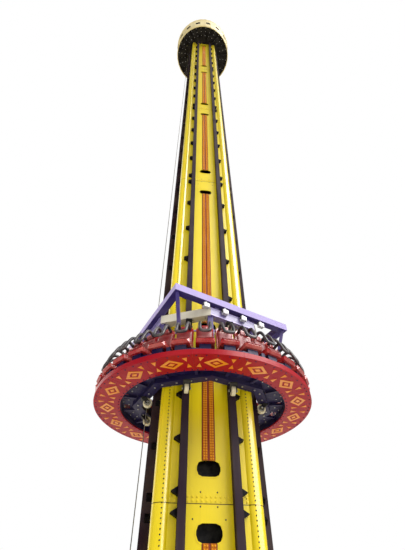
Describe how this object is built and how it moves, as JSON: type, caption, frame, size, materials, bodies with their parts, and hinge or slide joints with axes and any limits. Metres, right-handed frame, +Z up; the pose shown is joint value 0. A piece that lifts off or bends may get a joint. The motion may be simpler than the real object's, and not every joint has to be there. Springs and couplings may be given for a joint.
{
  "type": "half-scale model of a drop tower ride",
  "caption": "Half-scale drop tower ride: square column of tubes and plates with guide rails, a ring-shaped seat gondola that slides up it, and a round flared crown on top.",
  "frame": {"origin": "centre of the base plate's underside, on the ground", "axes": "+Z up along the column; -Y out of the front face; +X to the right seen from the front"},
  "size_m": [3.1812, 3.1812, 25.37],
  "materials": {
    "column_yellow": "gloss paint",
    "rail_aubergine": "satin paint, worn bright on the running face",
    "lamp_red": "gloss paint",
    "rope_steel": "greased stranded steel",
    "dark_iron": "satin paint",
    "crown_dark": "matt paint",
    "crown_cream": "satin paint",
    "ring_red": "gloss paint",
    "seat_red": "moulded shell",
    "restraint_pad": "foam with an integral skin",
    "deck_indigo": "satin paint",
    "frame_purple": "satin paint",
    "rail_lilac": "satin paint",
    "lamp_white": "gloss paint",
    "roller_cream": "cast polyurethane tyre"
  },
  "bodies": {
    "tower": {"back_lamp_strips": "lamp_red", "back_rails": "rail_aubergine", "base_gussets": "column_yellow", "base_plate": "column_yellow", "corner_tubes": "column_yellow", "crown_fascia": "crown_cream", "crown_floor": "crown_dark", "crown_ribs": "crown_dark", "crown_roof": "crown_cream", "front_lamp_strips": "lamp_red", "front_rails": "rail_aubergine", "hoist_ropes": "rope_steel", "joint_panels": "column_yellow", "left_lamp_strips": "lamp_red", "left_rails": "rail_aubergine", "right_lamp_strips": "lamp_red", "right_rails": "rail_aubergine", "rope_anchors": "dark_iron", "wall_plates": "column_yellow"},
    "gondola": {"fascia_panels": "ring_red", "rim_trim": "deck_indigo", "inner_ring_beam": "deck_indigo", "outer_ring_beam": "deck_indigo", "lower_collar": "deck_indigo", "upper_collar": "rail_lilac", "collar_posts": "frame_purple", "ring_spokes": "deck_indigo", "deck_panels": "deck_indigo", "top_frame": "frame_purple", "frame_posts": "frame_purple", "corner_hangers": "frame_purple", "floodlights": "lamp_white", "guide_rollers": "roller_cream", "roller_brackets": "dark_iron", "rope_clamps": "frame_purple", "handrail_posts": "rail_lilac", "handrail_top": "rail_lilac", "seat_stands": "deck_indigo", "seat_pans": "seat_red", "seat_backs": "seat_red", "shoulder_restraints": "restraint_pad"}
  },
  "joints": [
    {"name": "gondola_lift", "type": "slide", "parent": "tower", "child": "gondola", "axis": [0, 0, 1], "range_m": [-2.8, 18.8]}
  ]
}
